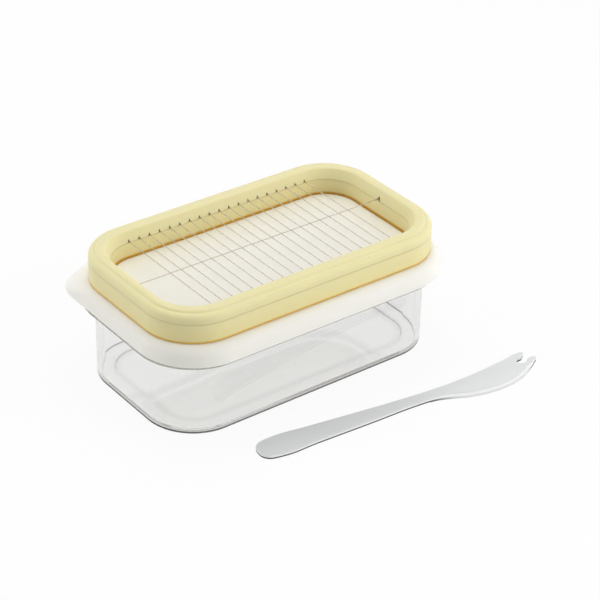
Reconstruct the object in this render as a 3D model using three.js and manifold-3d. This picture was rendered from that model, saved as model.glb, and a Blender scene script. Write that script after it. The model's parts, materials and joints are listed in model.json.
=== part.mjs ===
// Butter cutting box: a clear tub, a soft lid with a raised panel, a two-part cutter frame
// strung with wires that stands on the lid, and the flat knife that goes with it.
// Millimetres, +Z up, origin at the centre of the tub's underside, long side along X.
import * as THREE from 'three';
import { mergeVertices } from 'three/addons/utils/BufferGeometryUtils.js';
import Module from 'manifold-3d';

const wasm = await Module();
wasm.setup();

// Shared clearances and the fineness of the curves
const seatGap = 0.3;            // between pieces that rest on or press into each other
const cutOverrun = 1;           // how far a cutting shape runs past what it cuts
const cornerSteps = 10;         // straight steps in each rounded corner seen from above
const roundSteps = 4;           // straight steps in each small rounding

// Clear tub
const tubLength = 154.2;        // outside of the long walls
const tubWidth = 86.6;
const tubCorner = 25.3;         // outside corner radius seen from above
const tubWall = 2.2;
const tubFloor = 1.2;
const tubFootRound = 0.5;       // rounding under the outside edge
const tubFloorRound = 1.5;      // rounding between the floor and the inside walls
const floorMargin = 8;          // the floor slopes up to the walls over this width
const floorMarginRise = 0.8;
const flangeHeight = 38.9;      // table to the underside of the rim flange
const flangeThickness = 2.05;
const flangeReachEnds = 5.4;    // how far the flange stands out past the walls
const flangeReachSides = 6;
const flangeCorner = 29;
const neckHeight = 7.05;        // wall above the flange, under the lid
const neckInset = 0.8;          // the neck stands back from the outside of the wall
const neckRound = 0.5;

// Lid
const lidOverhangEnds = 0.55;   // past the flange
const lidOverhangSides = 1.7;
const lidCorner = 30;
const lidThickness = 1.75;
const shoulderReach = 5;        // rounding between the lid's deck and its skirt, sideways
const shoulderDrop = 6;         // and downwards
const sealDepth = 3;            // rib that plugs the mouth of the tub
const sealThickness = 1.3;
const panelRise = 1.9;          // raised panel that presses the butter through the wires
const panelRound = 0.6;
const tabThickness = 1.5;       // peel tab that squares off one corner of the skirt
const tabCorner = 14;
const tabFlare = 0.8;           // share of the tab's reach where the shoulder runs into it

// Cutter frame
const neckClearanceEnds = 0.65; // the frame also fits over the neck of the open tub
const neckClearanceSides = 1.25;
const frameSkirt = 1.8;         // thickness of the frame's hollow lower walls
const frameCorner = 25.6;
const ringWidthEnds = 9.45;     // frame width seen from above
const ringWidthSides = 10.65;
const windowCorner = 17;
const windowDraft = 0.5;        // the window opens out by this much towards the bottom
const lowerRingHeight = 9.45;
const channelInset = 3;         // wire channel in the top of the lower ring
const channelWidth = 3;
const channelDepth = 4;
const webThickness = 1.5;       // under the channel
const shoulderHeight = 4.1;     // upper ring, from its underside to the outer step
const upperRound = 2.4;         // rounding of the upper ring's outside edge
const stepWidth = 0.9;          // narrow outer step around the raised bead
const beadRise = 0.95;          // bead above the outer step
const beadRound = 1.6;
const windowSlope = 2.1;        // the window flares by this much above the wires

// Wires
const wireDiameter = 0.4;
const wireSides = 6;
const crossWireCount = 19;      // they cut a block into 20 slices
const wireEndClearance = 1;     // from the last cross wire to the window's corner
const wireCrossingGap = 0.15;   // the long wire lies just above the cross wires
const hookBend = 0.6;           // bend radius where each end turns down into the channel
const hookLength = 2.6;
const hookSteps = 3;
const crossNotchWidth = 1.5;    // notch in the upper ring over each cross wire
const crossNotchHeight = 1.5;
const longNotchWidth = 3.4;
const longNotchHeight = 1.9;

// Knife
const knifeLength = 155.2;
const handleWidth = 13.8;
const knifeThickness = 1.8;
const knifeChamfer = 0.3;
const edgeBevel = 2.2;          // ground bevel along the cutting edge
const edgeThickness = 0.6;
const knifeTurn = -6.2;         // degrees, as it lies beside the tub
const knifeSideways = 25.4;     // its handle end from the end wall of the tub
const knifeAway = 17.6;         // and from the long side of the lid

// The knife's outline, from the end of the handle along the cutting side, round the fork
// and back along the spine: shares of the knife's length and of its handle's width
const handleEndShares = [[0.012, 0.36], [0, 0.02], [0.01, -0.33]];
const edgeSideShares = [
  [0.055, -0.49], [0.18, -0.43], [0.38, -0.33], [0.54, -0.24], [0.6, -0.27], [0.65, -0.43],
  [0.71, -0.67], [0.78, -0.78], [0.845, -0.75], [0.91, -0.55], [0.955, -0.27], [0.985, -0.02],
];
const forkShares = [
  [1, 0.16], [0.985, 0.215], [0.973, 0.19], [0.963, 0.1], [0.951, 0.03], [0.938, 0.06],
  [0.931, 0.18], [0.937, 0.3], [0.956, 0.335], [0.968, 0.435], [0.978, 0.58],
];
const forkChamferShare = 0.5;   // the fork's edges are broken less than the rest
const spineShares = [
  [0.966, 0.64], [0.9, 0.525], [0.81, 0.37], [0.73, 0.275], [0.64, 0.225], [0.5, 0.25],
  [0.35, 0.335], [0.19, 0.445], [0.06, 0.51],
];
const forkFirstShare = 0.93;    // the bevel ends where the fork begins
const bevelFromShare = 0.57;    // and fades in past the neck, up to the next share
const bevelFullShare = 0.68;
const outlineSteps = 3;         // straight steps between two outline points

// Heights and plan sizes that follow from the above
const flangeTop = flangeHeight + flangeThickness;
const neckTop = flangeTop + neckHeight;
const deckUnder = neckTop + seatGap;
const deckTop = deckUnder + lidThickness;
const panelTop = deckTop + panelRise;
const skirtBottom = flangeTop + seatGap;
const frameBottom = deckTop + seatGap;
const lowerRingTop = frameBottom + lowerRingHeight;
const upperRingBottom = lowerRingTop + seatGap;
const stepTop = upperRingBottom + shoulderHeight;
const crossWireHeight = lowerRingTop + seatGap + wireDiameter / 2;
const longWireHeight = crossWireHeight + wireDiameter + wireCrossingGap;

const tubOutside = { length: tubLength, width: tubWidth, corner: tubCorner };
const tubInside = grown(tubOutside, -tubWall);
const neckOutside = grown(tubOutside, -neckInset);
const flangeOutside = {
  length: tubLength + 2 * flangeReachEnds,
  width: tubWidth + 2 * flangeReachSides,
  corner: flangeCorner,
};
const lidOutside = {
  length: flangeOutside.length + 2 * lidOverhangEnds,
  width: flangeOutside.width + 2 * lidOverhangSides,
  corner: lidCorner,
};
const frameOutside = {
  length: neckOutside.length + 2 * (neckClearanceEnds + frameSkirt),
  width: neckOutside.width + 2 * (neckClearanceSides + frameSkirt),
  corner: frameCorner,
};
const windowOutline = {
  length: frameOutside.length - 2 * ringWidthEnds,
  width: frameOutside.width - 2 * ringWidthSides,
  corner: windowCorner,
};
const windowFoot = grown(windowOutline, windowDraft);
const panelOutline = grown(windowOutline, -seatGap);

// A plan outline moved outwards by a distance, or inwards where it is negative
function grown({ length, width, corner }, distance) {
  return {
    length: length + 2 * distance,
    width: width + 2 * distance,
    corner: corner + distance,
  };
}

// The same outline with the tab's corner, -X +Y, drawn out by a share of the tab's reach
function withTab(outline, share) {
  return { ...outline, tab: outline.corner - share * (lidCorner - tabCorner) };
}

// The rounded rectangle of a plan outline at one height, anticlockwise seen from above
function planLoop(outline, height) {
  const points = [];
  for (let quarter = 0; quarter < 4; quarter++) {
    const sideX = quarter === 0 || quarter === 3 ? 1 : -1;
    const sideY = quarter < 2 ? 1 : -1;
    const radius = quarter === 1 ? outline.tab ?? outline.corner : outline.corner;
    const centreX = sideX * (outline.length / 2 - radius);
    const centreY = sideY * (outline.width / 2 - radius);
    for (let step = 0; step <= cornerSteps; step++) {
      const angle = (quarter + step / cornerSteps) * Math.PI / 2;
      points.push(new THREE.Vector3(
        centreX + radius * Math.cos(angle),
        centreY + radius * Math.sin(angle),
        height));
    }
  }
  return points;
}

// Stations of a rounded edge between two directions, each [outline, height]
function roundedStations(outline, height, reach, drop, fromDegrees, toDegrees) {
  const stations = [];
  for (let step = 0; step <= roundSteps; step++) {
    const degrees = fromDegrees + (toDegrees - fromDegrees) * step / roundSteps;
    const angle = THREE.MathUtils.degToRad(degrees);
    stations.push([
      grown(outline, reach * Math.cos(angle)),
      height + drop * Math.sin(angle),
    ]);
  }
  return stations;
}

// Skin over loops that have as many points each: a closed ring, or capped at both ends
function skinned(loops, isRing) {
  const count = loops[0].length;
  const positions = loops.flat().flatMap((point) => point.toArray());
  const indices = [];
  const bands = isRing ? loops.length : loops.length - 1;
  for (let band = 0; band < bands; band++) {
    const low = band * count;
    const high = ((band + 1) % loops.length) * count;
    for (let i = 0; i < count; i++) {
      const next = (i + 1) % count;
      indices.push(low + i, low + next, high + next, low + i, high + next, high + i);
    }
  }
  if (!isRing) {
    const last = (loops.length - 1) * count;
    const flat = loops[0].map((point) => new THREE.Vector2(point.x, point.y));
    const flatEnd = loops.at(-1).map((point) => new THREE.Vector2(point.x, point.y));
    for (const [a, b, c] of THREE.ShapeUtils.triangulateShape(flat, [])) {
      indices.push(a, c, b);
    }
    for (const [a, b, c] of THREE.ShapeUtils.triangulateShape(flatEnd, [])) {
      indices.push(last + a, last + b, last + c);
    }
  }
  const geometry = new THREE.BufferGeometry();
  geometry.setAttribute('position', new THREE.Float32BufferAttribute(positions, 3));
  geometry.setIndex(indices);
  return geometry;
}

function lofted(stations, isRing = false) {
  return skinned(stations.map(([outline, height]) => planLoop(outline, height)), isRing);
}

// Solids for joining and cutting, and back
function asSolid(geometry) {
  const bare = geometry.clone();
  bare.deleteAttribute('normal');
  bare.deleteAttribute('uv');
  const merged = mergeVertices(bare);
  return new wasm.Manifold(new wasm.Mesh({
    numProp: 3,
    vertProperties: new Float32Array(merged.attributes.position.array),
    triVerts: new Uint32Array(merged.index.array),
  }));
}

function asGeometry(solid) {
  const mesh = solid.getMesh();
  const geometry = new THREE.BufferGeometry();
  geometry.setAttribute('position', new THREE.BufferAttribute(mesh.vertProperties, 3));
  geometry.setIndex(new THREE.BufferAttribute(mesh.triVerts, 1));
  return geometry;
}

function piece(name, geometry, material) {
  const mesh = new THREE.Mesh(geometry, material);
  mesh.name = name;
  return mesh;
}

// Clear tub: thin dished floor, upright walls, rim flange and the neck that the lid plugs
function tubGeometry() {
  const footRect = grown(tubOutside, -tubFootRound);
  const floorRect = grown(tubInside, -tubFloorRound);
  const neckEdge = grown(neckOutside, -neckRound);
  const mouthEdge = grown(tubInside, neckRound);
  const roundCentre = tubFloor + floorMarginRise + tubFloorRound;
  return lofted([
    ...roundedStations(footRect, tubFootRound, tubFootRound, tubFootRound, -90, 0),
    [tubOutside, flangeHeight],
    [flangeOutside, flangeHeight],
    [flangeOutside, flangeTop],
    [neckOutside, flangeTop],
    [neckOutside, neckTop - neckRound],
    [neckEdge, neckTop],
    [mouthEdge, neckTop],
    [tubInside, neckTop - neckRound],
    ...roundedStations(floorRect, roundCentre, tubFloorRound, tubFloorRound, 0, -90),
    [grown(tubInside, -floorMargin), tubFloor],
  ]);
}

// Lid: thin shell with a rounded skirt, a seal rib in the tub's mouth, a raised panel that
// fits the cutter's window, and a corner whose shoulder flares out into the peel tab
function lidGeometry() {
  const deckEdge = grown(lidOutside, -shoulderReach);
  const shoulderHeightAt = deckTop - shoulderDrop;
  const sealOutside = grown(tubInside, -seatGap);
  const sealInside = grown(sealOutside, -sealThickness);
  const panelInside = grown(panelOutline, -lidThickness);
  const innerReach = shoulderReach - lidThickness;
  const innerDrop = shoulderDrop - lidThickness;
  const tabOutside = withTab(lidOutside, 1);
  const shoulder = roundedStations(deckEdge, shoulderHeightAt, shoulderReach, shoulderDrop, 0, 90)
    .map(([outline, height]) => {
      const share = tabFlare * (deckTop - height) / shoulderDrop;
      return [withTab(outline, share), height];
    });
  return lofted([
    [panelInside, panelTop - lidThickness],
    [panelInside, deckUnder],
    [sealInside, deckUnder],
    [sealInside, deckUnder - sealDepth],
    [sealOutside, deckUnder - sealDepth],
    [sealOutside, deckUnder],
    ...roundedStations(deckEdge, shoulderHeightAt, innerReach, innerDrop, 90, 0),
    [grown(lidOutside, -lidThickness), skirtBottom],
    [tabOutside, skirtBottom],
    [tabOutside, skirtBottom + tabThickness],
    ...shoulder,
    [panelOutline, deckTop],
    [panelOutline, panelTop - panelRound],
    [grown(panelOutline, -panelRound), panelTop],
  ]);
}

// Lower ring: hollow underneath, so it also fits over the neck of the open tub, with a
// channel in its top that takes the hooked ends of the wires
function lowerRingGeometry() {
  const channelFloor = lowerRingTop - channelDepth;
  const hollowTop = channelFloor - webThickness;
  const channelInner = grown(windowOutline, channelInset);
  const channelOuter = grown(windowOutline, channelInset + channelWidth);
  return lofted([
    [frameOutside, frameBottom],
    [frameOutside, lowerRingTop],
    [channelOuter, lowerRingTop],
    [channelOuter, channelFloor],
    [channelInner, channelFloor],
    [channelInner, lowerRingTop],
    [windowOutline, lowerRingTop],
    [windowFoot, frameBottom],
    [grown(windowFoot, frameSkirt), frameBottom],
    [grown(windowFoot, frameSkirt), hollowTop],
    [grown(frameOutside, -frameSkirt), hollowTop],
    [grown(frameOutside, -frameSkirt), frameBottom],
  ], true);
}

// Upper ring: narrow outer step around a raised bead, a flared window edge, a tongue that
// locks the wire ends in the channel, and a notch over every wire
function upperRingGeometry() {
  const tongueInset = channelInset + hookInset() + wireDiameter / 2 + seatGap;
  const tongueInner = grown(windowOutline, tongueInset);
  const tongueOuter = grown(windowOutline, channelInset + channelWidth - seatGap);
  const tongueBottom = lowerRingTop - channelDepth + seatGap;
  const roundCentre = grown(frameOutside, -upperRound);
  const beadFoot = grown(roundCentre, -stepWidth);
  const beadOuter = grown(beadFoot, -beadRound);
  const flare = grown(windowOutline, windowSlope);
  const beadInner = grown(flare, beadRound);
  const ring = lofted([
    [frameOutside, upperRingBottom],
    ...roundedStations(roundCentre, stepTop - upperRound, upperRound, upperRound, 0, 90),
    [beadFoot, stepTop],
    ...roundedStations(beadOuter, stepTop, beadRound, beadRise, 25, 90),
    ...roundedStations(beadInner, stepTop, beadRound, beadRise, 90, 180),
    [windowOutline, upperRingBottom],
    [tongueInner, upperRingBottom],
    [tongueInner, tongueBottom],
    [tongueOuter, tongueBottom],
    [tongueOuter, upperRingBottom],
  ], true);
  let solid = asSolid(ring);
  const grooveLength = tongueInset - seatGap / 2 + cutOverrun;
  const sideWall = windowOutline.width / 2 - cutOverrun;
  const endWall = windowOutline.length / 2 - cutOverrun;
  for (const side of [1, -1]) {
    for (const x of crossWirePlaces()) {
      const notch = notchGeometry(crossNotchWidth, crossNotchHeight, grooveLength);
      notch.rotateZ(side > 0 ? 0 : Math.PI).translate(x, side * sideWall, 0);
      solid = solid.subtract(asSolid(notch));
    }
    const notch = notchGeometry(longNotchWidth, longNotchHeight, grooveLength);
    notch.rotateZ(-side * Math.PI / 2).translate(side * endWall, 0, 0);
    solid = solid.subtract(asSolid(notch));
  }
  return asGeometry(solid);
}

// How far past the channel's edge the middle of a wire's hooked end stands
function hookInset() {
  return seatGap + wireDiameter / 2;
}

// Tent-shaped groove that starts at the origin and runs along +Y
function notchGeometry(width, height, length) {
  const tent = new THREE.Shape([
    new THREE.Vector2(-width / 2, 0),
    new THREE.Vector2(-width / 2, -seatGap / 2),
    new THREE.Vector2(width / 2, -seatGap / 2),
    new THREE.Vector2(width / 2, 0),
    new THREE.Vector2(0, height),
  ]);
  const geometry = new THREE.ExtrudeGeometry(tent, { depth: length, bevelEnabled: false });
  return geometry.rotateX(Math.PI / 2).rotateZ(Math.PI).translate(0, 0, upperRingBottom);
}

// The cross wires stand evenly along the straight stretch of the window's long sides
function crossWirePlaces() {
  const lastPlace = windowOutline.length / 2 - windowCorner - wireEndClearance;
  const pitch = 2 * lastPlace / (crossWireCount - 1);
  return Array.from({ length: crossWireCount }, (_, i) => i * pitch - lastPlace);
}

// A path whose even steps fall on its own points, turning half way at each corner
class CornerPath extends THREE.Curve {
  constructor(points) {
    super();
    this.points = points;
  }

  getPoint(share) {
    const place = share * (this.points.length - 1);
    const index = Math.min(Math.floor(place), this.points.length - 2);
    return this.points[index].clone().lerp(this.points[index + 1], place - index);
  }

  getPointAt(share) {
    return this.getPoint(share);
  }

  getTangentAt(share) {
    const index = Math.round(share * (this.points.length - 1));
    const here = this.points[index];
    const before = this.points[Math.max(index - 1, 0)];
    const after = this.points[Math.min(index + 1, this.points.length - 1)];
    const arriving = here.clone().sub(before).normalize();
    const leaving = after.clone().sub(here).normalize();
    return arriving.add(leaving).normalize();
  }
}

// A wire along X across a window, with both ends hooked down into the channel
function wireGeometry(windowSpan, height) {
  const hookPlace = windowSpan / 2 + channelInset + hookInset();
  const tipHeight = crossWireHeight - hookLength;
  const half = [new THREE.Vector3(hookPlace, 0, tipHeight)];
  for (let step = 0; step <= hookSteps; step++) {
    const angle = step / hookSteps * Math.PI / 2;
    half.push(new THREE.Vector3(
      hookPlace - hookBend * (1 - Math.cos(angle)),
      0,
      height - hookBend * (1 - Math.sin(angle))));
  }
  const mirrored = half.map((point) => new THREE.Vector3(-point.x, 0, point.z)).reverse();
  const path = new CornerPath([...half, ...mirrored]);
  const section = new THREE.Shape();
  for (let side = 0; side < wireSides; side++) {
    const angle = side / wireSides * Math.PI * 2;
    const x = wireDiameter / 2 * Math.cos(angle);
    const y = wireDiameter / 2 * Math.sin(angle);
    if (side === 0) {
      section.moveTo(x, y);
    } else {
      section.lineTo(x, y);
    }
  }
  section.closePath();
  return new THREE.ExtrudeGeometry(section, {
    steps: path.points.length - 1, extrudePath: path, bevelEnabled: false,
  });
}

// The knife's outline as points, each with the share of the edge bevel and chamfer it takes
function knifeOutline() {
  const shares = [...handleEndShares, ...edgeSideShares, ...forkShares, ...spineShares];
  const controls = shares.map(([along, across]) => new THREE.Vector3(
    along * knifeLength, across * handleWidth, 0));
  const curve = new THREE.CatmullRomCurve3(controls, true, 'centripetal');
  const edgeFirst = handleEndShares.length;
  const edgeEnd = edgeFirst + edgeSideShares.length;
  const outline = [];
  for (let i = 0; i < controls.length * outlineSteps; i++) {
    const place = i / outlineSteps;
    const point = curve.getPoint(place / controls.length);
    const along = point.x / knifeLength;
    const isEdge = place > edgeFirst && place < edgeEnd;
    const fadeIn = THREE.MathUtils.smoothstep(along, bevelFromShare, bevelFullShare);
    const fadeOut = 1 - THREE.MathUtils.smoothstep(along, forkFirstShare, 1);
    const isFork = place >= edgeEnd - 1 && place <= edgeEnd + forkShares.length;
    outline.push({
      point,
      bevel: isEdge ? fadeIn * fadeOut : 0,
      chamfer: isFork ? forkChamferShare : 1,
    });
  }
  return outline;
}

// Knife: one flat blank with broken edges, a ground cutting edge and a two-pronged tip
function knifeGeometry() {
  const outline = knifeOutline();
  const inward = outline.map((entry, i) => {
    const before = outline.at(i - 1).point;
    const after = outline[(i + 1) % outline.length].point;
    return new THREE.Vector3(before.y - after.y, after.x - before.x, 0).normalize();
  });
  const level = (height, chamferWidth, bevelWidth) => outline.map((entry, i) => {
    const inset = Math.max(entry.chamfer * chamferWidth, entry.bevel * bevelWidth);
    return entry.point.clone().addScaledVector(inward[i], inset).setZ(height);
  });
  const upperEdge = knifeThickness - knifeChamfer;
  const bevelAtUpperEdge = edgeBevel * (upperEdge - edgeThickness) / (knifeThickness - edgeThickness);
  return skinned([
    level(0, knifeChamfer, 0),
    level(knifeChamfer, 0, 0),
    level(edgeThickness, 0, 0),
    level(upperEdge, 0, bevelAtUpperEdge),
    level(knifeThickness, knifeChamfer, edgeBevel),
  ], false);
}

// Materials
const clearPlastic = new THREE.MeshStandardMaterial({
  name: 'clear_styrene', color: 0xe6e8e6, roughness: 0.08, metalness: 0, transparent: true, opacity: 0.35,
});
const whitePlastic = new THREE.MeshStandardMaterial({
  name: 'white_polyethylene', color: 0xf3f1ee, roughness: 0.45, metalness: 0,
});
const lowerYellow = new THREE.MeshStandardMaterial({
  name: 'yellow_abs_lower', color: 0xe9dc9f, roughness: 0.4, metalness: 0,
});
const upperYellow = new THREE.MeshStandardMaterial({
  name: 'yellow_abs_upper', color: 0xf0e7b4, roughness: 0.4, metalness: 0,
});
const wireSteel = new THREE.MeshStandardMaterial({
  name: 'stainless_wire', color: 0xb4b2ae, roughness: 0.3, metalness: 1,
});
const knifeSteel = new THREE.MeshStandardMaterial({
  name: 'brushed_stainless', color: 0xd0d2d1, roughness: 0.4, metalness: 1,
});

// Assembly
const butterBox = new THREE.Group();
butterBox.add(piece('tub', tubGeometry(), clearPlastic));
butterBox.add(piece('lid', lidGeometry(), whitePlastic));

const cutter = new THREE.Group();
cutter.add(piece('cutter_lower_ring', lowerRingGeometry(), lowerYellow));
cutter.add(piece('cutter_upper_ring', upperRingGeometry(), upperYellow));
crossWirePlaces().forEach((x, i) => {
  const wire = piece(
    `cross_wire_${String(i + 1).padStart(2, '0')}`,
    wireGeometry(windowOutline.width, crossWireHeight),
    wireSteel);
  wire.position.x = x;
  wire.rotation.z = Math.PI / 2;
  cutter.add(wire);
});
cutter.add(piece('long_wire', wireGeometry(windowOutline.length, longWireHeight), wireSteel));
butterBox.add(cutter);

const knife = piece('butter_knife', knifeGeometry(), knifeSteel);
knife.position.set(-tubLength / 2 + knifeSideways, -lidOutside.width / 2 - knifeAway, 0);
knife.rotation.z = THREE.MathUtils.degToRad(knifeTurn);
butterBox.add(knife);

export default butterBox;
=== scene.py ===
# Butter cutting box: clear tub, white lid, yellow cutter frame strung with wires, and its knife.
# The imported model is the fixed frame, and each piece below stands for a node of it.
import json
import math

import bmesh
import bpy
from mathutils import Matrix, Vector

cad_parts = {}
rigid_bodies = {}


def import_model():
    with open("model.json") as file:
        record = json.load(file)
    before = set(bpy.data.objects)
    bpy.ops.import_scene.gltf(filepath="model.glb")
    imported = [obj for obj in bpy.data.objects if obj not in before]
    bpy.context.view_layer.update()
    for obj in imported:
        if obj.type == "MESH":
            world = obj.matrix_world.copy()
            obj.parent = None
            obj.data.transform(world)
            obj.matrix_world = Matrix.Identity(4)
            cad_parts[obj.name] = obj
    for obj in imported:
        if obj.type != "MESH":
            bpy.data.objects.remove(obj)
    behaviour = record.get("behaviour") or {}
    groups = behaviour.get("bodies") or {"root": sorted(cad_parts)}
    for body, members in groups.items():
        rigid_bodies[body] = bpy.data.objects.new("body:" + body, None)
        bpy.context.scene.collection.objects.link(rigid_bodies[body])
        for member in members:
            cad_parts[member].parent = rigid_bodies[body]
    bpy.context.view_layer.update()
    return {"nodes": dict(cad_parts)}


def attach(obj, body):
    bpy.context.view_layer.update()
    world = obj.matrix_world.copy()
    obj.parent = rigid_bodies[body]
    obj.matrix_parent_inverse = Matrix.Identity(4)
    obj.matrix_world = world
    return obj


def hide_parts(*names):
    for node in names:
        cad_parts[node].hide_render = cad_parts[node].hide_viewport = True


for thing in list(bpy.data.objects):  # what a new Blender file starts with
    bpy.data.objects.remove(thing)

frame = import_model()
scene = bpy.context.scene
scene.view_settings.view_transform = "Standard"
print("frame loaded,", len(frame["nodes"]), "nodes")

mm = 0.001  # pieces are modelled in millimetres and scaled to metres when they are finished
seatGap = 0.3  # between pieces that rest on or press into each other

loftSettings = {
    "cornerSegments": 18,  # straight steps in each rounded corner seen from above
    "stepLength": 0.7,  # of the arc of a rounded edge
    "leastSteps": 3,
    "sharpAngle": 32,  # degrees; flatter edges are shaded smooth
    "mergeDistance": 0.002,
}


def outline(length, width, corner):
    # a rounded rectangle seen from above, centred on the frame's origin
    return {"length": length, "width": width, "corners": [corner] * 4}


def grown(base, distance):
    return {
        "length": base["length"] + 2 * distance,
        "width": base["width"] + 2 * distance,
        "corners": [radius + distance for radius in base["corners"]],
    }


def outsideOf(base, x, y):
    # how far a point lies outside an outline, seen from above; negative inside it
    radius = base["corners"][0]
    dx = abs(x) - (base["length"] / 2 - radius)
    dy = abs(y) - (base["width"] / 2 - radius)
    return math.hypot(max(dx, 0), max(dy, 0)) + min(max(dx, dy), 0) - radius


def addLoop(bm, base, height):
    # a rectangle whose corners are rounded off, kept as a loop of edges
    before = set(bm.edges)
    x, y = base["length"] / 2, base["width"] / 2
    places = ((x, y), (-x, y), (-x, -y), (x, -y))
    corners = [bm.verts.new((px, py, height)) for px, py in places]
    bm.faces.new(corners)
    for corner, radius in zip(corners, base["corners"]):
        bmesh.ops.bevel(
            bm,
            geom=[corner],
            offset=radius,
            segments=loftSettings["cornerSegments"],
            profile=0.5,
            affect="VERTICES",
            material=-1,
        )
    loop = [edge for edge in bm.edges if edge not in before]
    bmesh.ops.delete(bm, geom=loop[0].link_faces[:], context="FACES_ONLY")
    return loop


def loft(bm, stations, ring=False):
    # Stations are (outline, height, rounding of that edge). They are bridged while they stand
    # apart, because loops that lie in one plane can be joined to each other's far side.
    loops = [addLoop(bm, base, level) for level, (base, _, _) in enumerate(stations)]
    following = loops[1:] + loops[:1] if ring else loops[1:]
    for low, high in zip(loops, following):
        bmesh.ops.bridge_loops(bm, edges=low + high)
    for loop, (_, height, _) in zip(loops, stations):
        for edge in loop:
            for vert in edge.verts:
                vert.co.z = height
    if not ring:
        for end in (loops[0], loops[-1]):
            bmesh.ops.edgeloop_fill(bm, edges=end)
    for loop, (_, _, radius) in zip(loops, stations):
        if radius:
            arc = radius * math.pi / 2
            steps = math.ceil(arc / loftSettings["stepLength"])
            bmesh.ops.bevel(
                bm,
                geom=loop,
                offset=radius,
                segments=max(loftSettings["leastSteps"], steps),
                profile=0.5,
                affect="EDGES",
                material=-1,
            )


def arcStations(base, height, reach, drop, start, end, steps):
    # stations of an elliptical rounding between two directions in degrees
    angles = [math.radians(start + (end - start) * i / steps) for i in range(steps + 1)]
    return [
        (grown(base, reach * math.cos(angle)), height + drop * math.sin(angle), 0)
        for angle in angles
    ]


def evenShading(piece):
    # sharp edges stay sharp, and large flat faces keep their own direction
    piece.data.set_sharp_from_angle(angle=math.radians(loftSettings["sharpAngle"]))
    weighted = piece.modifiers.new("weighted", "WEIGHTED_NORMAL")
    weighted.keep_sharp = True


def finishPiece(bm, name, body, slotName, material, *nodes):
    bmesh.ops.remove_doubles(bm, verts=bm.verts, dist=loftSettings["mergeDistance"])
    bmesh.ops.recalc_face_normals(bm, faces=bm.faces)
    bmesh.ops.scale(bm, vec=(mm, mm, mm), verts=bm.verts)
    mesh = bpy.data.meshes.new(name)
    bm.to_mesh(mesh)
    bm.free()
    mesh.shade_smooth()
    mesh.materials.append(material)
    piece = bpy.data.objects.new(name, mesh)
    scene.collection.objects.link(piece)
    evenShading(piece)
    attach(piece, body)
    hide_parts(*nodes)
    return piece


def linear(colour):
    # sRGB hex to the linear values that shaders take
    channels = [int(colour[i : i + 2], 16) / 255 for i in (1, 3, 5)]
    return [c / 12.92 if c <= 0.04045 else ((c + 0.055) / 1.055) ** 2.4 for c in channels] + [1]


def perMetre(size):
    return 1 / (size * mm)  # texture scale for a pattern that repeats about every so many mm


def newMaterial(name):
    material = bpy.data.materials.new(name)
    material.use_nodes = True
    material.node_tree.nodes.clear()
    return material, material.node_tree


def addNode(tree, kind, settings=None, inputs=None):
    # inputs are values or other nodes' sockets; a Mix node's colours are 6 and 7, and 2 out
    node = tree.nodes.new("ShaderNode" + kind)
    for name, value in (settings or {}).items():
        setattr(node, name, value)
    for name, value in (inputs or {}).items():
        if isinstance(value, bpy.types.NodeSocket):
            tree.links.new(value, node.inputs[name])
        else:
            node.inputs[name].default_value = value
    return node


def mouldedSurface(tree, place, gloss, relief):
    # roughness that drifts over the surface in patches, and the relief that the mould left
    patches = addNode(
        tree,
        "TexNoise",
        inputs={"Vector": place, "Scale": perMetre(gloss["size"]), "Detail": gloss["detail"]},
    )
    roughness = addNode(
        tree,
        "MapRange",
        inputs={
            "Value": patches.outputs["Fac"],
            "From Min": gloss["between"][0],
            "From Max": gloss["between"][1],
            "To Min": gloss["roughness"][0],
            "To Max": gloss["roughness"][1],
        },
    )
    heights = addNode(
        tree,
        "TexNoise",
        inputs={"Vector": place, "Scale": perMetre(relief["size"]), "Detail": relief["detail"]},
    )
    bump = addNode(
        tree,
        "Bump",
        inputs={"Height": heights.outputs["Fac"], "Strength": 1, "Distance": relief["depth"] * mm},
    )
    return roughness.outputs["Result"], bump.outputs["Normal"]


clearStyrene = {
    "colour": "#F7F7F6",
    "body": "#BCBCBA",  # what a long way through the plastic takes away, as at the outline
    "density": 20,
    "shadow": "#ECECEA",
    "shade": "#0C0B0B",  # painted shade at the foot's edge, and a little of it where the floor begins to rise
    "trapped": ("#E2E1DF", "#F6F6F5"),  # light caught in the foot, darkened there as painted shade, and in the flange
    "footHeight": (4, 12),  # the first gives way to the second between these heights
    "trappedAfter": 1,  # inner reflections; light that runs on inside the walls comes out straight
    "ior": 1.58,
    "gloss": {"size": 9, "detail": 4, "between": (0.4, 0.75), "roughness": (0.012, 0.04)},
    "relief": {"size": 22, "detail": 1, "depth": 0.01},
}


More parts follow.
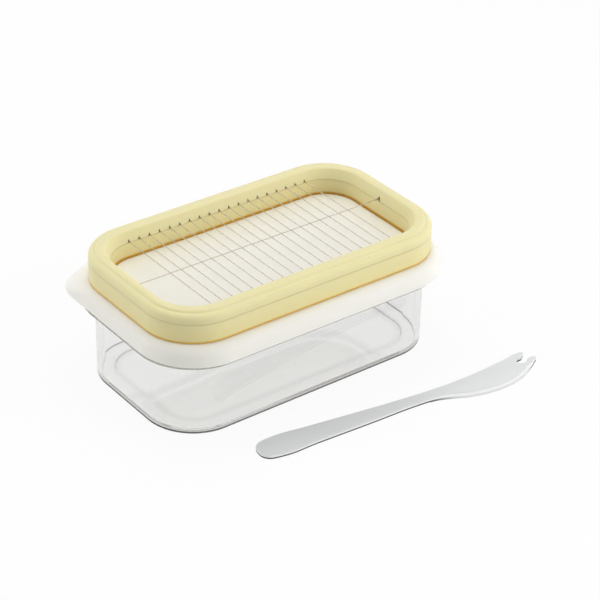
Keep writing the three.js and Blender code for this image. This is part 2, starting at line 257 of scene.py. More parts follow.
def makeClearStyrene(s):
    # Injection-moulded clear styrene: glassy, with long faint waves where the melt shrank
    # and a little wear that dulls the gloss in patches.
    material, tree = newMaterial("clearStyrene")
    place = addNode(tree, "TexCoord").outputs["Object"]
    roughness, normal = mouldedSurface(tree, place, s["gloss"], s["relief"])
    # painted shade, read from the mesh: a dark edge at the foot and a faint band on the floor
    shade = addNode(tree, "Attribute", settings={"attribute_name": "shade"}).outputs["Fac"]
    tone = addNode(
        tree,
        "Mix",
        settings={"data_type": "RGBA"},
        inputs={0: shade, 6: linear(s["colour"]), 7: linear(s["shade"])},
    )
    plastic = addNode(
        tree,
        "BsdfPrincipled",
        inputs={
            "Base Color": tone.outputs[2],
            "Roughness": roughness,
            "IOR": s["ior"],
            "Transmission Weight": 1,
            "Normal": normal,
        },
    )
    path = addNode(tree, "LightPath")
    isTrapped = addNode(
        tree,
        "Math",
        settings={"operation": "GREATER_THAN"},
        inputs={0: path.outputs["Glossy Depth"], 1: s["trappedAfter"]},
    )
    height = addNode(tree, "SeparateXYZ", inputs={"Vector": place}).outputs["Z"]
    aboveFoot = addNode(
        tree,
        "MapRange",
        inputs={
            "Value": height,
            "From Min": s["footHeight"][0] * mm,
            "From Max": s["footHeight"][1] * mm,
        },
    )
    trappedTone = addNode(
        tree,
        "Mix",
        settings={"data_type": "RGBA"},
        inputs={
            0: aboveFoot.outputs["Result"],
            6: linear(s["trapped"][0]),
            7: linear(s["trapped"][1]),
        },
    )
    straightOut = addNode(tree, "BsdfTransparent", inputs={"Color": trappedTone.outputs[2]})
    seen = addNode(
        tree,
        "MixShader",
        inputs={0: isTrapped.outputs[0], 1: plastic.outputs[0], 2: straightOut.outputs[0]},
    )
    shadow = addNode(tree, "BsdfTransparent", inputs={"Color": linear(s["shadow"])})
    surface = addNode(
        tree,
        "MixShader",
        inputs={0: path.outputs["Is Shadow Ray"], 1: seen.outputs[0], 2: shadow.outputs[0]},
    )
    body = addNode(
        tree, "VolumeAbsorption", inputs={"Color": linear(s["body"]), "Density": s["density"]}
    )
    addNode(
        tree,
        "OutputMaterial",
        inputs={"Surface": surface.outputs[0], "Volume": body.outputs["Volume"]},
    )
    return material


whitePolyethylene = {
    "colour": "#FBF7EE",
    "ior": 1.51,
    "subsurface": 0.5,
    "depth": 2,  # mm that red light goes, and the shares of it for red, green and blue
    "depthShares": (1, 0.95, 0.85),
    "gloss": {"size": 14, "detail": 3, "between": (0.3, 0.7), "roughness": (0.3, 0.36)},
    # the grain is drawn coarser than the real one, which is too fine to show
    "relief": {"size": 0.5, "detail": 2, "depth": 0.004},
}


def makeWhitePolyethylene(s):
    # Soft white polyethylene: waxy, lets a little light in at its edges, fine moulded grain.
    material, tree = newMaterial("whitePolyethylene")
    place = addNode(tree, "TexCoord").outputs["Object"]
    roughness, normal = mouldedSurface(tree, place, s["gloss"], s["relief"])
    plastic = addNode(
        tree,
        "BsdfPrincipled",
        inputs={
            "Base Color": linear(s["colour"]),
            "Roughness": roughness,
            "IOR": s["ior"],
            "Subsurface Weight": s["subsurface"],
            "Subsurface Radius": s["depthShares"],
            "Subsurface Scale": s["depth"] * mm,
            "Normal": normal,
        },
    )
    addNode(tree, "OutputMaterial", inputs={"Surface": plastic.outputs[0]})
    return material


yellowAbs = {
    "colour": "#EEE6B4",
    "low": "#ECDFA1",  # painted shade: darker down at the lid, from the tone above at the top
    # painted shade along the visible foot and in the seam, warm with light caught in the plastic
    "edge": "#E8B74C",
    "edgeHeight": (0.3, 1.1),  # above the foot; the edge's tone is full below, gone above
    "seam": (0.1, 0.36),  # to each side of the seam, where it begins to fade and is gone
    "seamShadeShare": 0.4,  # of the edge's tone in the seam
    "ior": 1.53,
    "subsurface": 0.5,
    "depth": 2,
    "depthShares": (1, 0.8, 0.35),
    "gloss": {"size": 11, "detail": 3, "between": (0.3, 0.7), "roughness": (0.38, 0.48)},
    "relief": {"size": 0.35, "detail": 2, "depth": 0.003},
}


def makeYellowAbs(s, seam, bottom, top):
    # Pale yellow ABS: satin, slightly translucent, with painted shade along the visible foot,
    # in the seam and down the lower wall, warm with light caught in the plastic.
    # The mesh says how high that foot is.
    material, tree = newMaterial("yellowAbs")
    place = addNode(tree, "TexCoord").outputs["Object"]
    roughness, normal = mouldedSurface(tree, place, s["gloss"], s["relief"])
    height = addNode(tree, "SeparateXYZ", inputs={"Vector": place}).outputs["Z"]
    foot = addNode(tree, "Attribute", settings={"attribute_name": "foot"}).outputs["Fac"]
    aboveFoot = addNode(
        tree, "Math", settings={"operation": "SUBTRACT"}, inputs={0: height, 1: foot}
    ).outputs[0]
    atFoot = addNode(
        tree,
        "MapRange",
        settings={"interpolation_type": "SMOOTHSTEP"},
        inputs={
            "Value": aboveFoot,
            "From Min": s["edgeHeight"][0] * mm,
            "From Max": s["edgeHeight"][1] * mm,
            "To Min": 1,
            "To Max": 0,
        },
    )
    aboveSeam = addNode(
        tree, "Math", settings={"operation": "SUBTRACT"}, inputs={0: height, 1: seam * mm}
    ).outputs[0]
    fromSeam = addNode(
        tree, "Math", settings={"operation": "ABSOLUTE"}, inputs={0: aboveSeam}
    ).outputs[0]
    atSeam = addNode(
        tree,
        "MapRange",
        inputs={
            "Value": fromSeam,
            "From Min": s["seam"][0] * mm,
            "From Max": s["seam"][1] * mm,
            "To Min": s["seamShadeShare"],
            "To Max": 0,
        },
    )
    paintedShadeShare = addNode(
        tree,
        "Math",
        settings={"operation": "MAXIMUM"},
        inputs={0: atFoot.outputs["Result"], 1: atSeam.outputs["Result"]},
    ).outputs[0]
    # painted shade: the wall darker towards the lid
    rise = addNode(
        tree,
        "MapRange",
        inputs={"Value": height, "From Min": bottom * mm, "From Max": top * mm},
    )
    wall = addNode(
        tree,
        "Mix",
        settings={"data_type": "RGBA"},
        inputs={0: rise.outputs["Result"], 6: linear(s["low"]), 7: linear(s["colour"])},
    )
    colour = addNode(
        tree,
        "Mix",
        settings={"data_type": "RGBA"},
        inputs={0: paintedShadeShare, 6: wall.outputs[2], 7: linear(s["edge"])},
    )
    plastic = addNode(
        tree,
        "BsdfPrincipled",
        inputs={
            "Base Color": colour.outputs[2],
            "Roughness": roughness,
            "IOR": s["ior"],
            "Subsurface Weight": s["subsurface"],
            "Subsurface Radius": s["depthShares"],
            "Subsurface Scale": s["depth"] * mm,
            "Normal": normal,
        },
    )
    addNode(tree, "OutputMaterial", inputs={"Surface": plastic.outputs[0]})
    return material


drawnWire = {
    "colour": "#CCC3B5",
    "roughness": (0.22, 0.34),
    "streak": 1.5,
    "streakDetail": 2,
}


def makeDrawnWire(s):
    # Stainless spring wire, drawn: bright but thin, so it reads as a fine grey line.
    material, tree = newMaterial("drawnStainlessWire")
    place = addNode(tree, "TexCoord").outputs["Object"]
    streak = addNode(
        tree,
        "TexNoise",
        inputs={"Vector": place, "Scale": perMetre(s["streak"]), "Detail": s["streakDetail"]},
    )
    roughness = addNode(
        tree,
        "MapRange",
        inputs={
            "Value": streak.outputs["Fac"],
            "To Min": s["roughness"][0],
            "To Max": s["roughness"][1],
        },
    )
    metal = addNode(
        tree,
        "BsdfPrincipled",
        inputs={
            "Base Color": linear(s["colour"]),
            "Metallic": 1,
            "Roughness": roughness.outputs["Result"],
        },
    )
    addNode(tree, "OutputMaterial", inputs={"Surface": metal.outputs[0]})
    return material


brushedStainless = {
    "colour": "#EAECED",
    "metallic": 0.25,  # the rest of the light is scattered by the brushing
    "side": "#F4F5F6",  # painted highlight below the flat, and on the ground edge
    "highlightHeight": (1.4, 1.6),
    "line": "#2B2B2A",  # the lowest part of the edge, in its own shadow, where it isn't ground
    "lineHeight": (0.75, 0.95),
    "lineGround": 0.15,  # share of the line that is left along the ground edge
    "streakLength": 30,
    "streakWidth": 0.25,  # wider than the real brushing, which is too fine to show
    "streakDetail": 3,
    "streakBetween": (0.3, 0.7),
    "streakDepth": 0.0015,
    "roughness": (0.52, 0.62),
}


def makeBrushedStainless(s, turn):
    # Stainless sheet, brushed along the knife: long fine streaks, soft highlights.
    material, tree = newMaterial("brushedStainless")
    place = addNode(tree, "TexCoord").outputs["Object"]
    lengthwise, across = perMetre(s["streakLength"]), perMetre(s["streakWidth"])
    along = addNode(
        tree,
        "Mapping",
        inputs={
            "Vector": place,
            "Rotation": (0, 0, math.radians(-turn)),
            "Scale": (lengthwise, across, across),
        },
    )
    streaks = addNode(
        tree,
        "TexNoise",
        inputs={"Vector": along.outputs["Vector"], "Scale": 1, "Detail": s["streakDetail"]},
    ).outputs["Fac"]
    roughness = addNode(
        tree,
        "MapRange",
        inputs={
            "Value": streaks,
            "From Min": s["streakBetween"][0],
            "From Max": s["streakBetween"][1],
            "To Min": s["roughness"][0],
            "To Max": s["roughness"][1],
        },
    )
    bump = addNode(
        tree,
        "Bump",
        inputs={"Height": streaks, "Strength": 1, "Distance": s["streakDepth"] * mm},
    )
    # painted highlight on the side and the ground edge, and painted shadow along the lowest part of
    # the edge
    height = addNode(tree, "SeparateXYZ", inputs={"Vector": place}).outputs["Z"]
    aboveLine, aboveHighlight = [
        addNode(
            tree,
            "MapRange",
            inputs={"Value": height, "From Min": low * mm, "From Max": high * mm},
        ).outputs["Result"]
        for low, high in (s["lineHeight"], s["highlightHeight"])
    ]
    ground = addNode(tree, "Attribute", settings={"attribute_name": "ground"}).outputs["Fac"]
    groundAway = addNode(
        tree,
        "Math",
        settings={"operation": "MULTIPLY"},
        inputs={0: ground, 1: 1 - s["lineGround"]},
    ).outputs[0]
    noLine = addNode(
        tree, "Math", settings={"operation": "MAXIMUM"}, inputs={0: aboveLine, 1: groundAway}
    ).outputs[0]
    bright = addNode(
        tree,
        "Mix",
        settings={"data_type": "RGBA"},
        inputs={0: aboveHighlight, 6: linear(s["side"]), 7: linear(s["colour"])},
    ).outputs[2]
    tone = addNode(
        tree,
        "Mix",
        settings={"data_type": "RGBA"},
        inputs={0: noLine, 6: linear(s["line"]), 7: bright},
    )
    metal = addNode(
        tree,
        "BsdfPrincipled",
        inputs={
            "Base Color": tone.outputs[2],
            "Metallic": s["metallic"],
            "Roughness": roughness.outputs["Result"],
            "Normal": bump.outputs["Normal"],
        },
    )
    addNode(tree, "OutputMaterial", inputs={"Surface": metal.outputs[0]})
    return material


tub = {
    "length": 154.2,
    "width": 86.6,
    "corner": 25.3,
    "wall": 2.2,
    "floor": 1.2,
    "footRound": 0.2,
    "floorRound": 0.6,
    "marginRise": 0.8,  # the floor rises by this much over this width along its walls
    "marginWidth": 8,
    "rampWidth": 0.7,  # inner end of the margin, which takes most of the rise
    "rampRise": 0.65,
    "bandWidth": 3.5,  # a band of painted shade to each side of where the margin begins to rise
    "bandShade": 0.2,
    "paintedFootEdge": (1.1, 1.25),  # the foot's painted dark edge, and where it has faded
    "sideShade": 0.96,  # of that edge along the sides; it is full at the ends
    "flangeHeight": 38.9,
    "flangeThickness": 2.05,
    "flangeReachEnds": 5.4,
    "flangeReachSides": 6,
    "flangeCorner": 29,
    "flangeRound": 0.35,
    "neckHeight": 7.05,
    "neckInset": 0.8,
    "neckRound": 0.5,
}

tubOutside = outline(tub["length"], tub["width"], tub["corner"])
tubInside = grown(tubOutside, -tub["wall"])
neckOutside = grown(tubOutside, -tub["neckInset"])
flangeOutside = outline(
    tub["length"] + 2 * tub["flangeReachEnds"],
    tub["width"] + 2 * tub["flangeReachSides"],
    tub["flangeCorner"],
)
flangeTop = tub["flangeHeight"] + tub["flangeThickness"]
neckTop = flangeTop + tub["neckHeight"]


def markPaintedShade(bm):
    # painted shade: the foot's dark edge on the outside, and a faint band where the floor begins to
    # rise
    shade = bm.verts.layers.float.new("shade")
    marginInside = grown(tubInside, -tub["marginWidth"])
    for vert in bm.verts:
        x, y, height = vert.co
        if outsideOf(tubInside, x, y) > tub["wall"] / 2:
            if tub["footRound"] / 2 < height < sum(tub["paintedFootEdge"]) / 2:
                towardsEnd = (abs(x) - tub["length"] / 2) / tub["corner"] + 1
                vert[shade] = tub["sideShade"] + (1 - tub["sideShade"]) * max(0, towardsEnd)
        elif height < tub["floor"] + tub["marginRise"]:
            away = abs(outsideOf(marginInside, x, y))
            vert[shade] = tub["bandShade"] * max(0, 1 - away / tub["bandWidth"])


def makeTub():
    flangeRound, neckRound = tub["flangeRound"], tub["neckRound"]
    margin, band = tub["marginWidth"], tub["bandWidth"]
    floor, rise, rampRise = tub["floor"], tub["marginRise"], tub["rampRise"]
    bm = bmesh.new()
    loft(
        bm,
        [
            (tubOutside, 0, tub["footRound"]),
            (tubOutside, tub["paintedFootEdge"][0], 0),
            (tubOutside, tub["paintedFootEdge"][1], 0),
            (tubOutside, tub["flangeHeight"], flangeRound),
            (flangeOutside, tub["flangeHeight"], flangeRound),
            (flangeOutside, flangeTop, flangeRound),
            (neckOutside, flangeTop, flangeRound),
            (neckOutside, neckTop, neckRound),
            (tubInside, neckTop, neckRound),
            (tubInside, floor + rise, tub["floorRound"]),
            (grown(tubInside, band - margin), floor + (rise + rampRise) / 2, 0),
            (grown(tubInside, tub["rampWidth"] - margin), floor + rampRise, 0),
            (grown(tubInside, -margin), floor, 0),
            (grown(tubInside, -margin - band), floor, 0),
        ],
    )
    markPaintedShade(bm)
    plastic = makeClearStyrene(clearStyrene)
    return finishPiece(bm, "clearTub", "tub", "clear_plastic", plastic, "tub")


makeTub()
print("tub done")


lid = {
    "overhangEnds": 0.55,  # past the flange
    "overhangSides": 1.7,
    "corner": 30,
    "thickness": 1.75,
    "shoulderReach": 5,
    "shoulderDrop": 6,
    "shoulderSteps": 10,
    "sealDepth": 3,
    "sealThickness": 1.3,
    "panelRise": 1.9,
    "panelRound": 0.6,
    "edgeRound": 0.3,
    "footRound": 0.2,
    "lip": 0.5,  # how far the outer edge hangs below the inner one
    "tabThickness": 1.5,
    "tabCorner": 14,
    "tabFlare": 0.8,  # share of the tab's reach where the shoulder runs into it
}

lidOutside = outline(
    flangeOutside["length"] + 2 * lid["overhangEnds"],
    flangeOutside["width"] + 2 * lid["overhangSides"],
    lid["corner"],
)
skirtBottom = flangeTop + seatGap
deckUnder = neckTop + seatGap
deckTop = deckUnder + lid["thickness"]
panelTop = deckTop + lid["panelRise"]


def withTab(base, share):
    # the same outline with its -X +Y corner drawn out by a share of the tab's reach
    drawn = grown(base, 0)
    drawn["corners"][1] -= share * (lid["corner"] - lid["tabCorner"])
    return drawn


def makeLid(panelOutline):
    thickness = lid["thickness"]
    edgeRound, footRound = lid["edgeRound"], lid["footRound"]
    sealOutside = grown(tubInside, -seatGap)
    sealInside = grown(sealOutside, -lid["sealThickness"])
    sealBottom = deckUnder - lid["sealDepth"]
    panelInside = grown(panelOutline, -thickness)
    deckEdge = grown(lidOutside, -lid["shoulderReach"])
    shoulderFoot = deckTop - lid["shoulderDrop"]
    tabOutside = withTab(lidOutside, 1)
    reach, drop, steps = lid["shoulderReach"], lid["shoulderDrop"], lid["shoulderSteps"]
    shoulder = arcStations(deckEdge, shoulderFoot, reach, drop, 0, 90, steps)
    underside = arcStations(
        deckEdge, shoulderFoot, reach - thickness, drop - thickness, 90, 0, steps
    )
    bm = bmesh.new()
    loft(
        bm,
        [
            (panelInside, panelTop - thickness, edgeRound),
            (panelInside, deckUnder, edgeRound),
            (sealInside, deckUnder, edgeRound),
            (sealInside, sealBottom, edgeRound),
            (sealOutside, sealBottom, edgeRound),
            (sealOutside, deckUnder, edgeRound),
            *underside,
            (grown(lidOutside, -thickness), skirtBottom, footRound),
            (tabOutside, skirtBottom - lid["lip"], footRound),
            (tabOutside, skirtBottom + lid["tabThickness"], footRound),
            *[
                (withTab(base, lid["tabFlare"] * (deckTop - height) / drop), height, rounding)
                for base, height, rounding in shoulder
            ],
            (panelOutline, deckTop, edgeRound),
            (panelOutline, panelTop, lid["panelRound"]),
        ],
    )
    plastic = makeWhitePolyethylene(whitePolyethylene)
    return finishPiece(bm, "whiteLid", "lid", "white_plastic", plastic, "lid")


cutter = {
    "neckClearanceEnds": 0.65,  # the frame also fits over the neck of the open tub
    "neckClearanceSides": 1.25,
    "skirt": 1.8,
    "corner": 25.6,
    "widthEnds": 9.45,
    "widthSides": 10.65,
    "windowCorner": 17,
    "windowDraft": 0.5,
    "lowerHeight": 9.45,
    "channelInset": 3,  # the channel holds the wires' ends, between the two rings
    "channelWidth": 3,
    "channelDepth": 4,
    "web": 1.5,
    "shoulderHeight": 4.1,
    "upperRound": 2.4,
    "stepWidth": 0.9,
    "beadRise": 0.95,
    "beadRound": 1.6,
    "beadFrom": 25,  # degrees, where the bead comes up out of the step
    "windowSlope": 2.1,
    "footRound": 0.35,
    "rimRound": 0.12,  # at the outside of the foot, and how far the rim stands off the deck
    "seamGap": 0.05,
    "seamRound": 0.08,
    "creaseRound": 0.25,
    "arcSteps": 6,
}

frameOutside = outline(
    neckOutside["length"] + 2 * (cutter["neckClearanceEnds"] + cutter["skirt"]),
    neckOutside["width"] + 2 * (cutter["neckClearanceSides"] + cutter["skirt"]),
    cutter["corner"],
)
windowOutline = outline(
    frameOutside["length"] - 2 * cutter["widthEnds"],
    frameOutside["width"] - 2 * cutter["widthSides"],
    cutter["windowCorner"],
)
frameBottom = deckTop + seatGap
seamHeight = frameBottom + cutter["lowerHeight"]
upperBottom = seamHeight + seatGap
rimBottom = seamHeight + cutter["seamGap"]
stepTop = upperBottom + cutter["shoulderHeight"]

makeLid(grown(windowOutline, -seatGap))  # its panel fills the cutter's window
print("lid done")


wires = {
    "diameter": 0.4,
    "sides": 12,
    "count": 19,
    "endClearance": 1,  # from the last cross wire to the window's corner
    "crossingGap": 0.15,
    "hookBend": 0.6,
    "hookLength": 2.6,
    "bendSteps": 5,
    "notchWidth": 1.4,
    "notchHeight": 1.3,
    "longNotchWidth": 3.4,
    "longNotchHeight": 1.9,
    "notchStart": 1,  # how far inside the window the cutting shape begins
}

crossHeight = upperBottom + wires["diameter"] / 2
longHeight = crossHeight + wires["diameter"] + wires["crossingGap"]
hookInset = seatGap + wires["diameter"] / 2
lastWire = windowOutline["length"] / 2 - cutter["windowCorner"] - wires["endClearance"]
wirePitch = 2 * lastWire / (wires["count"] - 1)
wirePlaces = [i * wirePitch - lastWire for i in range(wires["count"])]


def markFoot(bm):
    # the height where each wall's foot shows, for the painted shade there: the deck outside, the
    # panel in the window
    foot = bm.verts.layers.float.new("foot")
    middle = grown(windowOutline, cutter["channelInset"])
    for vert in bm.verts:
        inWindow = outsideOf(middle, vert.co.x, vert.co.y) < 0
        vert[foot] = (panelTop if inWindow else frameBottom) * mm


def makeLowerRing(plastic):
    windowFoot = grown(windowOutline, cutter["windowDraft"])
    windowSkirt = grown(windowFoot, cutter["skirt"])
    outerSkirt = grown(frameOutside, -cutter["skirt"])
    channelInner = grown(windowOutline, cutter["channelInset"])
    channelOuter = grown(channelInner, cutter["channelWidth"])
    channelFloor = seamHeight - cutter["channelDepth"]
    hollowTop = channelFloor - cutter["web"]
    footRound, seamRound = cutter["footRound"], cutter["seamRound"]
    bm = bmesh.new()
    loft(
        bm,
        [
            (frameOutside, deckTop + cutter["rimRound"], cutter["rimRound"]),
            (frameOutside, seamHeight, seamRound),
            (channelOuter, seamHeight, seamRound),
            (channelOuter, channelFloor, seamRound),
            (channelInner, channelFloor, seamRound),
            (channelInner, seamHeight, seamRound),
            (windowOutline, seamHeight, seamRound),
            (windowFoot, frameBottom, footRound),
            (windowSkirt, frameBottom, footRound),
            (windowSkirt, hollowTop, footRound),
            (outerSkirt, hollowTop, footRound),
            (outerSkirt, deckTop + cutter["rimRound"], footRound),
        ],
        ring=True,
    )
    markFoot(bm)
    return finishPiece(
        bm, "cutterLowerRing", "cutter", "yellow_plastic", plastic, "cutter_lower_ring"
    )


def addNotch(bm, width, height, length, place, turn):
    # a tent-shaped bar on the seam, whose ridge runs outwards from the window
    made = bmesh.ops.create_cone(
        bm, cap_ends=True, cap_tris=False, segments=3, radius1=1, radius2=1, depth=1
    )["verts"]
    bmesh.ops.transform(bm, matrix=Matrix.Rotation(math.radians(90), 4, "X"), verts=made)
    low, high = min(v.co.z for v in made), max(v.co.z for v in made)
    wide = max(v.co.x for v in made) - min(v.co.x for v in made)
    tall = height + seatGap
    size = (width * tall / height / wide, length, tall / (high - low))
    bmesh.ops.translate(bm, vec=(0, 0.5, -low), verts=made)  # its near end and foot to zero
    bmesh.ops.scale(bm, vec=size, verts=made)
    bmesh.ops.translate(bm, vec=(0, 0, seamHeight), verts=made)
    heading = Matrix.Rotation(math.radians(turn), 3, "Z")
    bmesh.ops.rotate(bm, cent=(0, 0, 0), matrix=heading, verts=made)
    bmesh.ops.translate(bm, vec=(place[0], place[1], 0), verts=made)


def cutNotches(ring, length):
    # a notch of this length over each end of each wire
    bm = bmesh.new()
    side = windowOutline["width"] / 2 - wires["notchStart"]
    end = windowOutline["length"] / 2 - wires["notchStart"]
    for x in wirePlaces:
        for y, turn in ((side, 0), (-side, 180)):
            addNotch(bm, wires["notchWidth"], wires["notchHeight"], length, (x, y), turn)
    for x, turn in ((end, -90), (-end, 90)):
        addNotch(bm, wires["longNotchWidth"], wires["longNotchHeight"], length, (x, 0), turn)
    bmesh.ops.recalc_face_normals(bm, faces=bm.faces)
    bmesh.ops.scale(bm, vec=(mm, mm, mm), verts=bm.verts)
    mesh = bpy.data.meshes.new("notches")
    bm.to_mesh(mesh)
    bm.free()
    notches = bpy.data.objects.new("notches", mesh)
    scene.collection.objects.link(notches)
    ring.modifiers.clear()
    cut = ring.modifiers.new("notches", "BOOLEAN")
    cut.operation = "DIFFERENCE"
    cut.solver = "EXACT"
    cut.object = notches
    bpy.context.view_layer.update()
    finished = ring.evaluated_get(bpy.context.evaluated_depsgraph_get())
    ring.data = bpy.data.meshes.new_from_object(finished)
    ring.modifiers.clear()
    bpy.data.objects.remove(notches)
    evenShading(ring)


def makeUpperRing(plastic):
    outerRound, seamRound = cutter["upperRound"], cutter["seamRound"]
    roundCentre = grown(frameOutside, -outerRound)
    beadFoot = grown(roundCentre, -cutter["stepWidth"])
    beadRound, beadRise, steps = cutter["beadRound"], cutter["beadRise"], cutter["arcSteps"]
    beadOuter = grown(beadFoot, -beadRound)
    beadInner = grown(windowOutline, cutter["windowSlope"] + beadRound)
    tongueInset = cutter["channelInset"] + hookInset + wires["diameter"] / 2 + seatGap
    tongueInner = grown(windowOutline, tongueInset)
    tongueOuter = grown(windowOutline, cutter["channelInset"] + cutter["channelWidth"] - seatGap)
    tongueBottom = seamHeight - cutter["channelDepth"] + seatGap
    bm = bmesh.new()
    loft(
        bm,
        [
            (frameOutside, rimBottom, seamRound),
            *arcStations(roundCentre, stepTop - outerRound, outerRound, outerRound, 0, 90, steps),
            (beadFoot, stepTop, cutter["creaseRound"]),
            *arcStations(beadOuter, stepTop, beadRound, beadRise, cutter["beadFrom"], 90, steps),
            *arcStations(beadInner, stepTop, beadRound, beadRise, 90, 180, steps),
            (windowOutline, rimBottom, seamRound),
            (tongueInner, rimBottom, seamRound),
            (tongueInner, tongueBottom, seamRound),
            (tongueOuter, tongueBottom, seamRound),
            (tongueOuter, rimBottom, seamRound),
        ],
        ring=True,
    )
    ring = finishPiece(
        bm, "cutterUpperRing", "cutter", "yellow_plastic", plastic, "cutter_upper_ring"
    )
    cutNotches(ring, wires["notchStart"] + tongueInset - seatGap / 2)
    return ring


yellow = makeYellowAbs(yellowAbs, (seamHeight + rimBottom) / 2, frameBottom, stepTop)
makeLowerRing(yellow)
makeUpperRing(yellow)
print("cutter rings done")


def makeWire(name, node, windowSpan, height, turn, place, material):
    # one wire along X, turned and moved to its place: up out of the channel, across, and down
    radius, bend = wires["diameter"] / 2, wires["hookBend"]
    hook = windowSpan / 2 + cutter["channelInset"] + hookInset
    tip = crossHeight - wires["hookLength"]
    bm = bmesh.new()
    start = bmesh.ops.create_circle(
        bm, cap_ends=True, segments=wires["sides"], radius=radius
    )["verts"]
    bmesh.ops.translate(bm, vec=(hook, 0, tip), verts=start)
    ends = bm.edges[:]

    def runOn(vec):
        nonlocal ends
        made = bmesh.ops.extrude_edge_only(bm, edges=ends)["geom"]
        verts = [g for g in made if isinstance(g, bmesh.types.BMVert)]
        bmesh.ops.translate(bm, vec=vec, verts=verts)
        ends = [g for g in made if isinstance(g, bmesh.types.BMEdge) and len(g.link_faces) == 1]

    def bendRound(centre):
        nonlocal ends
        made = bmesh.ops.spin(
            bm,
            geom=ends,
            cent=centre,
            axis=(0, 1, 0),
            angle=math.radians(-90),
            steps=wires["bendSteps"],
            use_merge=False,
            use_duplicate=False,
        )["geom_last"]
        ends = [g for g in made if isinstance(g, bmesh.types.BMEdge)]

    runOn((0, 0, height - bend - tip))
    bendRound((hook - bend, 0, height - bend))
    runOn((-2 * (hook - bend), 0, 0))
    bendRound((bend - hook, 0, height - bend))
    runOn((0, 0, tip + bend - height))
    bmesh.ops.edgeloop_fill(bm, edges=ends)
    heading = Matrix.Rotation(math.radians(turn), 3, "Z")
    bmesh.ops.rotate(bm, cent=(0, 0, 0), matrix=heading, verts=bm.verts)
    bmesh.ops.translate(bm, vec=(place, 0, 0), verts=bm.verts)
    return finishPiece(bm, name, "cutter", "wire_steel", material, node)


wireSteel = makeDrawnWire(drawnWire)
for number, x in enumerate(wirePlaces, 1):
    name, node = f"crossWire{number:02d}", f"cross_wire_{number:02d}"
    makeWire(name, node, windowOutline["width"], crossHeight, 90, x, wireSteel)
makeWire("longWire", "long_wire", windowOutline["length"], longHeight, 0, 0, wireSteel)
print("wires done")


knife = {
    "length": 155.2,
    "handleWidth": 13.8,
    "thickness": 1.8,
    "edgeThickness": 0.6,
    "bevelWidth": 2.2,
    "edgeRound": 0.3,
    "forkRound": 0.14,
    "roundSteps": 2,
    "turn": -6.2,
    "place": (-51.7, -68.6),
    "curveSteps": 8,
    # shares of the length and of the handle's width
    "handleEnd": ((0.012, 0.36), (0, 0.02), (0.01, -0.33)),
    "edgeSide": (
        (0.055, -0.49), (0.18, -0.43), (0.38, -0.33), (0.54, -0.24), (0.6, -0.27), (0.65, -0.43),
        (0.71, -0.67), (0.78, -0.78), (0.845, -0.75), (0.91, -0.55), (0.955, -0.27), (0.985, -0.02),
    ),
    "fork": (
        (1, 0.16), (0.985, 0.215), (0.973, 0.19), (0.963, 0.1), (0.951, 0.03), (0.938, 0.06),
        (0.931, 0.18), (0.937, 0.3), (0.956, 0.335), (0.968, 0.435), (0.978, 0.58),
    ),
    "spine": (
        (0.966, 0.64), (0.9, 0.525), (0.81, 0.37), (0.73, 0.275), (0.64, 0.225), (0.5, 0.25),
        (0.35, 0.335), (0.19, 0.445), (0.06, 0.51),
    ),
    "bevelFrom": 0.57,  # the ground bevel fades in here, past the neck
    "bevelFull": 0.68,
    "forkFrom": 0.93,  # and out again here
    "leastGround": 0.02,  # edges ground less than this are rounded instead
}


def smoothStep(value, low, high):
    share = min(max((value - low) / (high - low), 0), 1)
    return share * share * (3 - 2 * share)


def drawKnife():
    # the outline as a smooth curve through its points, returned as a loop of edges
    points = [*knife["handleEnd"], *knife["edgeSide"], *knife["fork"], *knife["spine"]]
    curve = bpy.data.curves.new("knifeOutline", "CURVE")
    curve.dimensions = "2D"
    curve.fill_mode = "NONE"
    curve.resolution_u = knife["curveSteps"]
    spline = curve.splines.new("BEZIER")
    spline.bezier_points.add(len(points) - 1)
    spline.use_cyclic_u = True
    for point, (along, across) in zip(spline.bezier_points, points):
        point.co = (along * knife["length"], across * knife["handleWidth"], 0)
        point.handle_left_type = point.handle_right_type = "AUTO"
    drawn = bpy.data.objects.new("knifeOutline", curve)
    scene.collection.objects.link(drawn)
    bpy.context.view_layer.update()
    bm = bmesh.new()
    bm.from_mesh(drawn.to_mesh())
    bpy.data.objects.remove(drawn)
    return bm


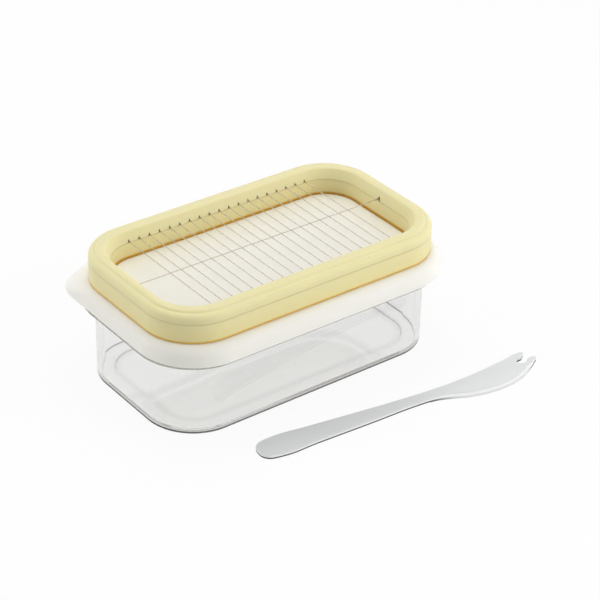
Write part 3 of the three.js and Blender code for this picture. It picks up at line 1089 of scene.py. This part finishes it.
def makeKnife():
    bm = drawKnife()
    ground = bm.verts.layers.float.new("ground")
    isFork = bm.verts.layers.int.new("isFork")
    bm.verts.ensure_lookup_table()
    firstEdge = len(knife["handleEnd"])
    firstFork = firstEdge + len(knife["edgeSide"])
    firstSpine = firstFork + len(knife["fork"])
    inward = []
    count = len(bm.verts)
    for i, vert in enumerate(bm.verts):
        point = i / knife["curveSteps"]
        along = vert.co.x / knife["length"]
        fade = smoothStep(along, knife["bevelFrom"], knife["bevelFull"])
        fade *= 1 - smoothStep(along, knife["forkFrom"], 1)
        vert[ground] = fade if firstEdge < point < firstFork else 0
        vert[isFork] = firstFork - 1 <= point <= firstSpine
        leaving = bm.verts[(i + 1) % count].co - bm.verts[i - 1].co
        inward.append(Vector((-leaving.y, leaving.x, 0)).normalized())

    bottom = rim = bm.edges[:]
    for rise in (knife["edgeThickness"], knife["thickness"] - knife["edgeThickness"]):
        made = bmesh.ops.extrude_edge_only(bm, edges=rim)["geom"]
        verts = [g for g in made if isinstance(g, bmesh.types.BMVert)]
        edges = [g for g in made if isinstance(g, bmesh.types.BMEdge)]
        rim = [e for e in edges if e.verts[0] in verts and e.verts[1] in verts]
        bmesh.ops.translate(bm, vec=(0, 0, rise), verts=verts)
    # the top of the cutting side is ground back
    bm.verts.ensure_lookup_table()
    for vert in verts:
        nearest = min(range(count), key=lambda i: (bm.verts[i].co.xy - vert.co.xy).length)
        vert.co += inward[nearest] * vert[ground] * knife["bevelWidth"]
    bmesh.ops.edgeloop_fill(bm, edges=bottom)
    bmesh.ops.edgeloop_fill(bm, edges=rim)

    for forkPart, radius in ((0, knife["edgeRound"]), (1, knife["forkRound"])):
        rounded = [
            e
            for e in bottom + rim
            if e.is_valid
            and max(e.verts[0][ground], e.verts[1][ground]) < knife["leastGround"]
            and min(e.verts[0][isFork], e.verts[1][isFork]) == forkPart
        ]
        bmesh.ops.bevel(
            bm,
            geom=rounded,
            offset=radius,
            segments=knife["roundSteps"],
            profile=0.5,
            affect="EDGES",
            material=-1,
        )
    heading = Matrix.Rotation(math.radians(knife["turn"]), 3, "Z")
    bmesh.ops.rotate(bm, cent=(0, 0, 0), matrix=heading, verts=bm.verts)
    bmesh.ops.translate(bm, vec=(*knife["place"], 0), verts=bm.verts)
    steel = makeBrushedStainless(brushedStainless, knife["turn"])
    return finishPiece(bm, "butterKnife", "knife", "knife_steel", steel, "butter_knife")


makeKnife()
print("knife done")


camera = {
    "place": (-0.4858, -0.6509, 0.5331),
    "turn": (58.136, -1.358, -37.176),
    "lens": 120.63,
    "sensor": 36,
}

cameraData = bpy.data.cameras.new("camera")
cameraData.sensor_width = camera["sensor"]
cameraData.lens = camera["lens"]
cameraObject = bpy.data.objects.new("camera", cameraData)
cameraObject.location = camera["place"]
cameraObject.rotation_euler = [math.radians(angle) for angle in camera["turn"]]
scene.collection.objects.link(cameraObject)
scene.camera = cameraObject

studio = {
    "floorSize": 6,
    "floorDrop": 0.1,  # mm below the tub, so that the two faces don't share a plane
    "floorColour": "#FAFAFA",
    "floorShows": 0.92,  # how much of the floor's look is its own plain white
    "worldLight": 0.32,
    "white": (1, 1, 1, 1),
    "lamps": (
        # name, direction it stands in, distance, size, watts
        ("softboxRight", (0.62, -0.79, 0.43), 1.1, 0.82, 6.2),
        ("softboxLeft", (-0.80, 0.60, 0.43), 1.1, 0.82, 3.8),
        ("softboxTop", (0.1, 0.25, 1), 1.2, 1.0, 6.3),
    ),
}


def seenDirectly(tree):
    # 1 for the rays that show the background: to the camera, in metal and through the plastic
    path = addNode(tree, "LightPath")
    cameraOrGlossy = addNode(
        tree,
        "Math",
        settings={"operation": "MAXIMUM"},
        inputs={0: path.outputs["Is Camera Ray"], 1: path.outputs["Is Glossy Ray"]},
    )
    return addNode(
        tree,
        "Math",
        settings={"operation": "MAXIMUM"},
        inputs={0: cameraOrGlossy.outputs[0], 1: path.outputs["Is Transmission Ray"]},
    ).outputs[0]


def makeFloor():
    # a matte sheet that takes the object's shadow, under a share of plain white
    material, tree = newMaterial("paleFloor")
    matte = addNode(tree, "BsdfDiffuse", inputs={"Color": linear(studio["floorColour"])})
    plain = addNode(tree, "Emission", inputs={"Color": studio["white"], "Strength": 1})
    share = addNode(
        tree,
        "Math",
        settings={"operation": "MULTIPLY"},
        inputs={0: seenDirectly(tree), 1: studio["floorShows"]},
    )
    surface = addNode(
        tree,
        "MixShader",
        inputs={0: share.outputs[0], 1: matte.outputs[0], 2: plain.outputs[0]},
    )
    addNode(tree, "OutputMaterial", inputs={"Surface": surface.outputs[0]})
    bm = bmesh.new()
    bmesh.ops.create_grid(bm, x_segments=1, y_segments=1, size=studio["floorSize"] / 2)
    bmesh.ops.translate(bm, vec=(0, 0, -studio["floorDrop"] * mm), verts=bm.verts)
    mesh = bpy.data.meshes.new("floor")
    bm.to_mesh(mesh)
    bm.free()
    mesh.materials.append(material)
    floor = bpy.data.objects.new("floor", mesh)
    scene.collection.objects.link(floor)


def makeWorld():
    # plain white where it is seen, and a soft fill where it only lights
    world = bpy.data.worlds.new("studio")
    world.use_nodes = True
    tree = world.node_tree
    tree.nodes.clear()
    strength = addNode(
        tree,
        "MapRange",
        inputs={"Value": seenDirectly(tree), "To Min": studio["worldLight"], "To Max": 1},
    )
    background = addNode(
        tree,
        "Background",
        inputs={"Color": studio["white"], "Strength": strength.outputs["Result"]},
    )
    addNode(tree, "OutputWorld", inputs={"Surface": background.outputs[0]})
    scene.world = world


makeFloor()
makeWorld()
for name, direction, distance, size, watts in studio["lamps"]:
    lampData = bpy.data.lights.new(name, "AREA")
    lampData.size = size
    lampData.energy = watts
    lamp = bpy.data.objects.new(name, lampData)
    away = Vector(direction).normalized()
    lamp.location = away * distance
    lamp.rotation_euler = (-away).to_track_quat("-Z", "Y").to_euler()
    lamp.visible_transmission = False  # no bright squares inside the clear walls
    lamp.visible_glossy = False  # nor on the knife, which mirrors the plain white around it
    scene.collection.objects.link(lamp)
print("camera, floor and lamps done")
